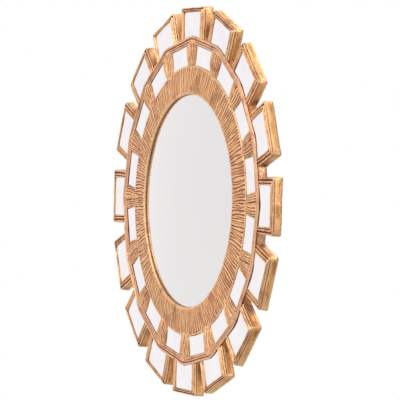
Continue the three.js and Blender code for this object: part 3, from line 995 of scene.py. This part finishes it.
# %% Felt pads
PAD_RADIUS, PAD_DEPTH = 8.85 * MM, 5.9 * MM
PAD_MIDDLE = -TOUCH - 3 * MM
PAD_DISTANCE = (REBATE_RADIUS + PLATEAU_FLAT) / 2


def make_pad(name, degrees):
    """A punched felt disc with a softened, slightly swollen edge."""
    piece = add_disc(name, 72, PAD_RADIUS, PAD_DEPTH, (0, 0, PAD_MIDDLE))
    apply_modifier(piece, "BEVEL", "soft_edge", width=0.9 * MM, segments=4, limit_method="ANGLE")
    edit(piece)
    pick("faces", lambda f: len(f.verts) > 20)
    for _ in range(3):
        bpy.ops.mesh.inset(thickness=2 * MM)
    bpy.ops.mesh.poke()
    finish_edit()
    angle = math.radians(degrees)
    hang(piece, 0, PAD_DISTANCE * math.sin(angle), PAD_DISTANCE * math.cos(angle))
    sway(piece, 0.0, 0.25 * MM)
    smooth_by_angle(piece, 60)
    return piece


pads = [make_pad("felt_pad_right", 145), make_pad("felt_pad_left", 215)]
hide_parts("right_bumper")
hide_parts("left_bumper")
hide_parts("backing_board")
casting = [*petals, plateau, *ribs, ring]
for piece in casting:
    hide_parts("frame")
for piece in [*casting, board, strap, *screws, *pads]:
    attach(piece, "mirror")
print(len(casting), "pieces stand for the casting")

# %% [markdown]
# ## Finishes
#
# Three effects are shared by the finishes, so each is a node group with its own sockets: patches
# (slow changes of tone), strokes (fine lines along the grain map) and wear_and_highlight (masks from
# the hollow value, broken up by noise: Hollow for glaze and Ridge for a painted highlight). A group
# only puts out values. The shader stays in its material.

# %% Node helpers
def fill(made, **inputs):
    """Links sockets to a node's inputs, or sets the inputs. i0 stands for the first one."""
    for key, value in inputs.items():
        label = key.replace("_", " ")
        socket = made.inputs[int(label[1:])] if label[1:].isdigit() else made.inputs[label]
        if isinstance(value, bpy.types.NodeSocket):
            made.id_data.links.new(value, socket)
        else:
            socket.default_value = value


def node(tree, kind, settings=None, **inputs):
    """Adds a node, sets its properties and fills its inputs."""
    made = tree.nodes.new(kind)
    for key, value in (settings or {}).items():
        setattr(made, key, value)
    fill(made, **inputs)
    return made


def tree_of(*values):
    """The tree of the first value that is a socket."""
    return next(v.id_data for v in values if isinstance(v, bpy.types.NodeSocket))


def maths(operation, a, b):
    return node(tree_of(a, b), "ShaderNodeMath", {"operation": operation}, i0=a, i1=b).outputs[0]


def plus(a, b):
    return maths("ADD", a, b)


def times(a, b):
    return maths("MULTIPLY", a, b)


def largest(first, *others):
    for value in others:
        first = maths("MAXIMUM", first, value)
    return first


def vector_maths(operation, a, **others):
    made = node(a.id_data, "ShaderNodeVectorMath", {"operation": operation}, i0=a, **others)
    return made.outputs["Value" if operation == "LENGTH" else "Vector"]


def part_of(vector, axis):
    return node(vector.id_data, "ShaderNodeSeparateXYZ", Vector=vector).outputs[axis]


def blend(factor, a, b):
    """Mixes two colours, each three numbers or a socket."""
    a, b = ((*colour, 1) if isinstance(colour, tuple) else colour for colour in (a, b))
    tree = tree_of(factor, a, b)
    return node(tree, "ShaderNodeMix", {"data_type": "RGBA"}, i0=factor, i6=a, i7=b).outputs[2]


def between(value, low, high, to_low=0.0, to_high=1.0):
    """Maps a value from one range to another and stops at its ends."""
    made = node(
        value.id_data, "ShaderNodeMapRange", {"interpolation_type": "SMOOTHSTEP"},
        Value=value, From_Min=low, From_Max=high, To_Min=to_low, To_Max=to_high,
    )
    return made.outputs[0]


def noise(place, scale, detail):
    made = node(place.id_data, "ShaderNodeTexNoise", Vector=place, Scale=scale, Detail=detail)
    return made.outputs[0]


def object_place(tree):
    return node(tree, "ShaderNodeTexCoord").outputs["Object"]


def bumped(height, strength, distance):
    made = node(height.id_data, "ShaderNodeBump", Strength=strength, Distance=distance, Height=height)
    return made.outputs[0]


print("node helpers ready")

# %% Helpers for groups and materials
def new_group(name, inputs, outputs):
    """A group of shader nodes that takes and gives numbers."""
    group = bpy.data.node_groups.new(name, "ShaderNodeTree")
    for label, value in inputs.items():
        socket = group.interface.new_socket(label, in_out="INPUT", socket_type="NodeSocketFloat")
        socket.default_value = value
    for label in outputs:
        group.interface.new_socket(label, in_out="OUTPUT", socket_type="NodeSocketFloat")
    return group, group.nodes.new("NodeGroupInput").outputs, group.nodes.new("NodeGroupOutput")


def use_group(tree, group, **inputs):
    return node(tree, "ShaderNodeGroup", {"node_tree": group}, **inputs).outputs


def new_material(name):
    material = bpy.data.materials.new(name)
    material.use_nodes = True
    tree = material.node_tree
    tree.nodes.clear()
    shader = tree.nodes.new("ShaderNodeBsdfPrincipled")
    node(tree, "ShaderNodeOutputMaterial", Surface=shader.outputs[0])
    return material, tree, shader


print("group and material helpers ready")

# %% The group "patches"
patches, given, result = new_group("patches", {"Size": 0.03, "Seed": 0.0}, ("Value", "Fine"))
place = vector_maths("ADD", object_place(patches), i1=given["Seed"])
scale = maths("DIVIDE", 1.0, given["Size"])
broad = noise(place, scale, 3.0)
fine = noise(place, times(scale, 9.0), 4.0)
fill(result, Value=between(broad, 0.3, 0.7), Fine=between(fine, 0.3, 0.7))
print("group", patches.name)

# %% The group "strokes"
strokes, given, result = new_group("strokes", {"Width": 1.0, "Length": 20.0}, ("Value", "Thin"))
grain = node(strokes, "ShaderNodeUVMap", {"uv_map": "grain"}).outputs[0]
along = maths("DIVIDE", part_of(grain, "X"), given["Length"])
across = maths("DIVIDE", part_of(grain, "Y"), given["Width"])
stretched = node(strokes, "ShaderNodeCombineXYZ", X=along, Y=across).outputs[0]
wide = noise(stretched, 1.0, 2.0)
thin = noise(stretched, 2.7, 3.0)
fill(result, Value=between(wide, 0.33, 0.67), Thin=between(thin, 0.35, 0.65))
print("group", strokes.name)

# %% The group "wear_and_highlight"
wear_and_highlight, given, result = new_group("wear_and_highlight", {"Low": 0.5, "High": 0.8, "Noise": 0.2}, ("Hollow", "Ridge"))
hollow = node(wear_and_highlight, "ShaderNodeAttribute", {"attribute_name": "hollow"}).outputs["Fac"]
breakup = maths("SUBTRACT", noise(object_place(wear_and_highlight), 420.0, 3.0), 0.5)
value = plus(hollow, times(breakup, given["Noise"]))
fill(result, Hollow=between(value, given["Low"], given["High"]), Ridge=between(value, 0.42, 0.18))
print("group", wear_and_highlight.name)

# %% [markdown]
# ## Gilding
#
# The casting is coloured brown, then covered with gold leaf, and a dark glaze is wiped over it so
# that it stays in the hollows. The outer walls get the brightest, yellowest gold and the carved front
# a redder one, told apart by the way each face points: this is painted light, for walls lit from the
# side and a grazing sheen on the front. So the colour goes from glaze in the hollows, over two golds
# that change along the strokes, to a paler gold painted on the ridges as a highlight. Down between
# the petals the glaze also paints shade, and at the foot of the lip, by the glass, its colour paints
# a shade. The back was only sprayed brown. All use one recipe, with golds of their own: ring and
# ribs are palest, and the plateau's beads are darkest.

# %% Where glaze gathers and shade is painted
# Radii from the mirror's axis, and places in depth, which fall from the wall to the viewer.
# Down between two petals the darkening is glaze and painted shade, where the petals shade each other.
NOTCH = (252 * MM, 223 * MM)  # down between two petals
PLATEAU_EDGE = (219.5 * MM, 224.5 * MM)
FLANK_DEPTH = (-8.5 * MM, -12.5 * MM)  # up the walls, to the sides of the ridges
FLANK_RADIUS = (190 * MM, 200 * MM)
# At the foot of the lip, where it meets the glass, the darkening is a painted shade: a dark contact
# line.
LIP_WALL = (145.2 * MM, 144.3 * MM)
LIP_DEPTH = (-15.2 * MM, -13.6 * MM)


def glaze_and_painted_shade(tree, tone):
    """Glaze and painted shade down between the petals, a darker band near the front of the walls, and
    painted shade at the foot of the lip by the glass. The first two are uneven with the tone.
    """
    place = vector_maths("SUBTRACT", object_place(tree), i1=(0, 0, CENTRE_HEIGHT))
    radius = vector_maths("LENGTH", vector_maths("MULTIPLY", place, i1=(1, 0, 1)))
    depth = part_of(place, "Y")
    notch = times(between(radius, *NOTCH), between(radius, *PLATEAU_EDGE, 0.1, 1.0))
    flank = times(between(depth, *FLANK_DEPTH, 0.0, 0.5), between(radius, *FLANK_RADIUS))
    uneven = between(tone, 1.0, 0.1, 0.25, 1.0)
    lip = times(between(radius, *LIP_WALL, 0.0, 0.75), between(depth, *LIP_DEPTH, 0.1, 1.0))
    return largest(times(largest(notch, flank), uneven), lip)


print("glaze gathers within", round(NOTCH[0] * 1000), "mm of the axis")

# %% The gilder's recipe
SPRAYED = ((0.055, 0.03, 0.016), (0.085, 0.048, 0.026))


def gilding(name, front_gold, front_shade, wall_gold, wall_shade, glaze, ridge_highlight_gold, seed, length):
    material, tree, shader = new_material(name)
    tone = use_group(tree, patches, Size=0.02, Seed=seed)
    line = use_group(tree, strokes, Width=2.2, Length=length)
    wear_and_highlight_mask = use_group(tree, wear_and_highlight, Low=0.46, High=0.8, Noise=0.2)
    facing = part_of(node(tree, "ShaderNodeNewGeometry").outputs["Normal"], "Y")
    front = between(facing, -0.12, -0.5)
    wall = maths("SUBTRACT", 1.0, front)
    # Two golds in turn on the front, and two on the walls. Walls and front are told apart by the way a
    # face points, as painted light: yellower walls as if lit from the side, a redder front as if seen
    # with a grazing sheen. A paler gold is painted on the ridges as a highlight.
    mixed = plus(times(line["Value"], 0.3), times(tone["Value"], 0.7))
    wall_colour = blend(tone["Value"], wall_shade, wall_gold)
    leaf = blend(front, wall_colour, blend(mixed, front_shade, front_gold))
    leaf = blend(times(wear_and_highlight_mask["Ridge"], 0.7), leaf, ridge_highlight_gold)
    # Glaze in hollows, streaks, blotches and specks. Glaze with painted shade between the petals, a
    # darker band near the front of the walls, and painted shade at the foot of the lip.
    streak = times(between(line["Thin"], 0.6, 1.0, 0.0, 0.3), between(front, 0.0, 1.0, 0.25, 1.0))
    speck = times(between(tone["Fine"], 0.75, 1.0, 0.0, 0.35), wall)
    blotch = between(tone["Value"], 0.35, 0.0, 0.0, 0.35)
    deep = times(glaze_and_painted_shade(tree, tone["Value"]), wall)
    covered = largest(wear_and_highlight_mask["Hollow"], streak, blotch, deep, speck)
    wiped = between(line["Thin"], 0.15, 0.95, 0.0, 0.4)
    colour = blend(covered, leaf, blend(wiped, glaze, front_shade))
    # The back has no leaf.
    behind = between(facing, 0.5, 0.8)
    colour = blend(behind, colour, blend(tone["Fine"], *SPRAYED))
    bare = largest(times(covered, 0.8), behind)
    relief = plus(tone["Fine"], times(line["Thin"], times(front, 0.5)))
    fill(
        shader,
        Base_Color=colour,
        Metallic=between(bare, 0.0, 1.0, 0.9, 0.1),
        Roughness=between(largest(bare, tone["Fine"]), 0.0, 1.0, 0.33, 0.58),
        Normal=bumped(relief, 0.35, 0.2 * MM),
    )
    return material


print("recipe ready")

# %% Three gildings
gold_leaf = gilding(
    "gold_leaf", seed=0.0, length=26.0,
    front_gold=(0.9, 0.45, 0.235), front_shade=(0.64, 0.23, 0.11),
    wall_gold=(0.88, 0.47, 0.175), wall_shade=(0.66, 0.26, 0.075),
    glaze=(0.11, 0.02, 0.007), ridge_highlight_gold=(1.0, 0.67, 0.36),
)
combed_gold = gilding(
    "combed_gold", seed=3.0, length=14.0,
    front_gold=(1.0, 0.57, 0.265), front_shade=(0.74, 0.3, 0.145),
    wall_gold=(0.9, 0.52, 0.2), wall_shade=(0.6, 0.25, 0.08),
    glaze=(0.17, 0.035, 0.012), ridge_highlight_gold=(1.0, 0.68, 0.38),
)
border_gold = gilding(
    "border_gold", seed=1.5, length=18.0,
    front_gold=(0.87, 0.45, 0.235), front_shade=(0.6, 0.23, 0.115),
    wall_gold=(0.82, 0.44, 0.16), wall_shade=(0.5, 0.17, 0.05),
    glaze=(0.12, 0.022, 0.008), ridge_highlight_gold=(0.92, 0.58, 0.36),
)
print("three gildings")

# %% [markdown]
# ## Mirror glass
#
# Silvered glass is a metal with almost no roughness. The tiles are clear and cool. The convex glass
# is a little greyer, as thick old glass is. Both have very faint smears from wiping, so that a
# highlight doesn't look like chrome. Its ground edge is bare glass, so it is duller and greener.

# %% Silvered glass
GROUND_EDGE = (0.55, 0.62, 0.58)


def silvering(name, clean, smeared, seed, smear_size):
    material, tree, shader = new_material(name)
    smear = use_group(tree, patches, Size=smear_size, Seed=seed)
    facing = part_of(node(tree, "ShaderNodeNewGeometry").outputs["Normal"], "Y")
    edge = between(facing, -0.95, -0.8)
    gloss = between(smear["Fine"], 0.0, 1.0, 0.008, 0.03)
    fill(
        shader,
        Base_Color=blend(edge, blend(smear["Value"], clean, smeared), GROUND_EDGE),
        Metallic=1.0,
        Roughness=plus(gloss, times(edge, 0.2)),
    )
    return material


tile_silver = silvering("tile_silver", (0.93, 0.885, 0.9), (0.885, 0.845, 0.875), 1.0, 0.03)
convex_silver = silvering("convex_silver", (0.8, 0.778, 0.775), (0.79, 0.768, 0.77), 5.0, 0.12)
print("two silverings")

# %% [markdown]
# ## Finishes of the back
#
# Hardboard has a smooth brown skin with short fibres. Felt is a mat of grey wool. The buttons and
# the strap are brass-plated, the screws and the wire are zinc-plated.

# %% Hardboard and felt
hardboard, tree, shader = new_material("hardboard")
tone = use_group(tree, patches, Size=0.05, Seed=2.0)
line = use_group(tree, strokes, Width=0.7, Length=4.0)
fibre = plus(times(line["Thin"], 0.5), times(tone["Fine"], 0.5))
brown = blend(fibre, (0.16, 0.085, 0.042), (0.26, 0.15, 0.08))
brown = blend(times(tone["Value"], 0.35), brown, (0.2, 0.11, 0.06))
rough = between(fibre, 0.0, 1.0, 0.62, 0.85)
fill(shader, Base_Color=brown, Roughness=rough, Normal=bumped(fibre, 0.35, 0.3 * MM))

felt, tree, shader = new_material("felt")
tone = use_group(tree, patches, Size=0.006, Seed=4.0)
grey = blend(tone["Fine"], (0.045, 0.043, 0.04), (0.11, 0.105, 0.095))
grey = blend(times(tone["Value"], 0.3), grey, (0.13, 0.12, 0.11))
fuzz = plus(tone["Fine"], times(tone["Value"], 0.5))
fill(shader, Base_Color=grey, Roughness=0.95, Sheen_Weight=0.4, Normal=bumped(fuzz, 0.7, 0.5 * MM))
print("hardboard and felt")

# %% Brass and zinc plating
def plating(name, light, dark, stain, seed, roughness):
    material, tree, shader = new_material(name)
    tone = use_group(tree, patches, Size=0.006, Seed=seed)
    spots = between(tone["Fine"], 0.7, 1.0, 0.0, 0.5)
    fill(
        shader,
        Base_Color=blend(spots, blend(tone["Value"], light, dark), stain),
        Metallic=1.0,
        Roughness=between(tone["Fine"], 0.0, 1.0, roughness, roughness + 0.2),
        Normal=bumped(tone["Fine"], 0.15, 0.2 * MM),
    )
    return material


brass = plating("brass_plating", (0.78, 0.56, 0.24), (0.66, 0.44, 0.17), (0.36, 0.22, 0.08), 6.0, 0.24)
zinc = plating("zinc_plating", (0.72, 0.73, 0.74), (0.6, 0.62, 0.65), (0.45, 0.45, 0.42), 7.0, 0.25)
print("two platings")

# %% Every piece gets its finish
FINISHES = [
    (petals, gold_leaf, "gilded_resin"),
    ([plateau], border_gold, "gilded_resin"),
    ([*ribs, ring], combed_gold, "gilded_resin"),
    ([*buttons, strap], brass, "brass"),
    ([*screws, wire_ring], zinc, "zinc_steel"),
    (pads, felt, "felt"),
    ([board], hardboard, "hardboard"),
]
for pieces, material, slot in FINISHES:
    for piece in pieces:
        piece.data.materials.clear()
        piece.data.materials.append(material)

# The loaded parts that stay, by the start of their names.
CAD_FINISHES = {
    "outer_tile": tile_silver,
    "inner_tile": tile_silver,
    "convex_mirror": convex_silver,
    "glass_spacer": felt,
}
for name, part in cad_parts.items():
    for start_of_name, material in CAD_FINISHES.items():
        if name.startswith(start_of_name):
            for place in part.material_slots:
                place.material = material
print("finishes given")

# %% [markdown]
# ## Floor, light and camera
#
# The mirror hangs in a bright room without corners. The world is white to the camera and to
# polished surfaces, so that the tiles show the same white, and dimmer for everything else. Polished
# metal also needs something darker to show, so the world behind and overhead is greyer. Four large
# soft lamps stand clear of what the flat tiles reflect: one at the right, one high behind, one in
# front and one for the back. The floor glows a little, so that it stays pale up to its far edge.

# %% World
WHITE = (1, 1, 1)
world = bpy.data.worlds.new("studio")
bpy.context.scene.world = world
world.use_nodes = True
tree = world.node_tree
tree.nodes.clear()


def mirrored_rays(path):
    """Rays that have met something polished or clear."""
    return largest(path["Is Glossy Ray"], path["Is Transmission Ray"])


path = node(tree, "ShaderNodeLightPath").outputs
direction = node(tree, "ShaderNodeTexCoord").outputs["Generated"]
behind = between(part_of(direction, "Y"), 0.02, 0.6)
above = between(part_of(direction, "Z"), 0.55, 0.95, 0.0, 0.7)
polished = blend(largest(behind, above), WHITE, (0.2, 0.19, 0.18))
colour = blend(mirrored_rays(path), (0.42, 0.42, 0.42), polished)
colour = blend(path["Is Camera Ray"], colour, WHITE)
light = node(tree, "ShaderNodeBackground", Color=colour, Strength=1.0)
node(tree, "ShaderNodeOutputWorld", Surface=light.outputs[0])
print("world ready")

# %% Floor
FLOOR_DROP = 0.9
floor = add_primitive(
    bpy.ops.mesh.primitive_plane_add, "floor", size=7, location=(0, 0, CENTRE_HEIGHT - FLOOR_DROP)
)
pale, tree, shader = new_material("pale_floor")
tree.nodes.remove(shader)
path = node(tree, "ShaderNodeLightPath").outputs
mirrored = mirrored_rays(path)
# To polished surfaces the floor is greyer and glows less near the mirror and on its +X side: painted
# shade in what the downward-facing walls reflect.
grey = blend(times(mirrored, 0.3), (0.86, 0.86, 0.86), (0.1, 0.09, 0.08))
lit = node(tree, "ShaderNodeBsdfDiffuse", Color=grey)
glow = node(tree, "ShaderNodeEmission", Color=(*WHITE, 1), Strength=1.0)
place = object_place(tree)
far = between(vector_maths("LENGTH", place), 0.5, 1.5, 0.25, 1.0)
far = times(far, between(part_of(place, "X"), -0.3, 0.3, 1.0, 0.2))
share = largest(times(mirrored, far), times(path["Is Camera Ray"], 0.55))
mixed = node(tree, "ShaderNodeMixShader", i0=share, i1=lit.outputs[0], i2=glow.outputs[0])
fill(tree.nodes["Material Output"], Surface=mixed.outputs[0])
floor.data.materials.append(pale)
print("floor", FLOOR_DROP, "m below the centre")

# %% Lamps
def towards(azimuth, elevation):
    """The direction from the mirror to a viewer or lamp, by two angles in degrees."""
    a, e = math.radians(azimuth), math.radians(elevation)
    return Vector((math.sin(a) * math.cos(e), -math.cos(a) * math.cos(e), math.sin(e)))


def add_lamp(name, azimuth, elevation, distance, size, power):
    """A soft square lamp that faces the mirror's centre."""
    away = towards(azimuth, elevation)
    deselect_all()
    bpy.ops.object.light_add(type="AREA", location=Vector((0, 0, CENTRE_HEIGHT)) + away * distance)
    lamp = bpy.context.active_object
    lamp.name = name
    lamp.rotation_euler = away.to_track_quat("Z", "Y").to_euler()
    lamp.data.size = size
    lamp.data.energy = power


# Name, azimuth and elevation in degrees, distance and width in metres, and power in watts.
LAMPS = [
    ("key_lamp", 104, 16, 2.6, 1.2, 13),
    ("high_lamp", 150, 62, 2.6, 1.2, 11),
    ("front_lamp", 30, 46, 2.6, 1.6, 25),
    ("back_lamp", 215, 45, 2.8, 1.6, 20),
]
for lamp in LAMPS:
    add_lamp(*lamp)
print(len(LAMPS), "lamps")

# %% [markdown]
# The photographer stood far to the mirror's right with a long lens. The camera is set by the
# direction from the mirror's centre, the distance, and where the centre falls in the picture.

# %% Camera
PICTURE = 400  # pixels, width and height
VIEW_AZIMUTH, VIEW_ELEVATION, VIEW_ROLL = 65.739, 1.154, -1.375
VIEW_DISTANCE = 3.772
VIEW_FOCUS = 2785.7  # focal length in pixels
VIEW_CENTRE = (-11.77, -0.86)  # the centre's place from the middle of the picture, in pixels
SENSOR = 36  # millimetres


def place_camera():
    back = towards(VIEW_AZIMUTH, VIEW_ELEVATION)
    right = Vector((0, 0, 1)).cross(back).normalized()
    up = back.cross(right)
    roll = math.radians(VIEW_ROLL)
    cos, sin = math.cos(roll), math.sin(roll)
    right, up = right * cos - up * sin, right * sin + up * cos
    centre = Vector((0, -TILE_PLANE, CENTRE_HEIGHT))
    stand = centre + back * VIEW_DISTANCE
    aim = centre - (right * VIEW_CENTRE[0] + up * VIEW_CENTRE[1]) * VIEW_DISTANCE / VIEW_FOCUS
    back = (stand - aim).normalized()
    right = up.cross(back).normalized()
    up = back.cross(right)
    turn = Matrix((right, up, back)).transposed().to_4x4()
    deselect_all()
    bpy.ops.object.camera_add()
    camera = bpy.context.active_object
    camera.matrix_world = Matrix.Translation(stand) @ turn
    camera.data.sensor_width = SENSOR
    camera.data.lens = SENSOR * VIEW_FOCUS / PICTURE
    camera.data.clip_end = 50
    bpy.context.scene.camera = camera
    return camera


camera = place_camera()
bpy.context.scene.view_settings.view_transform = "Standard"
print("lens", round(camera.data.lens, 1), "mm")
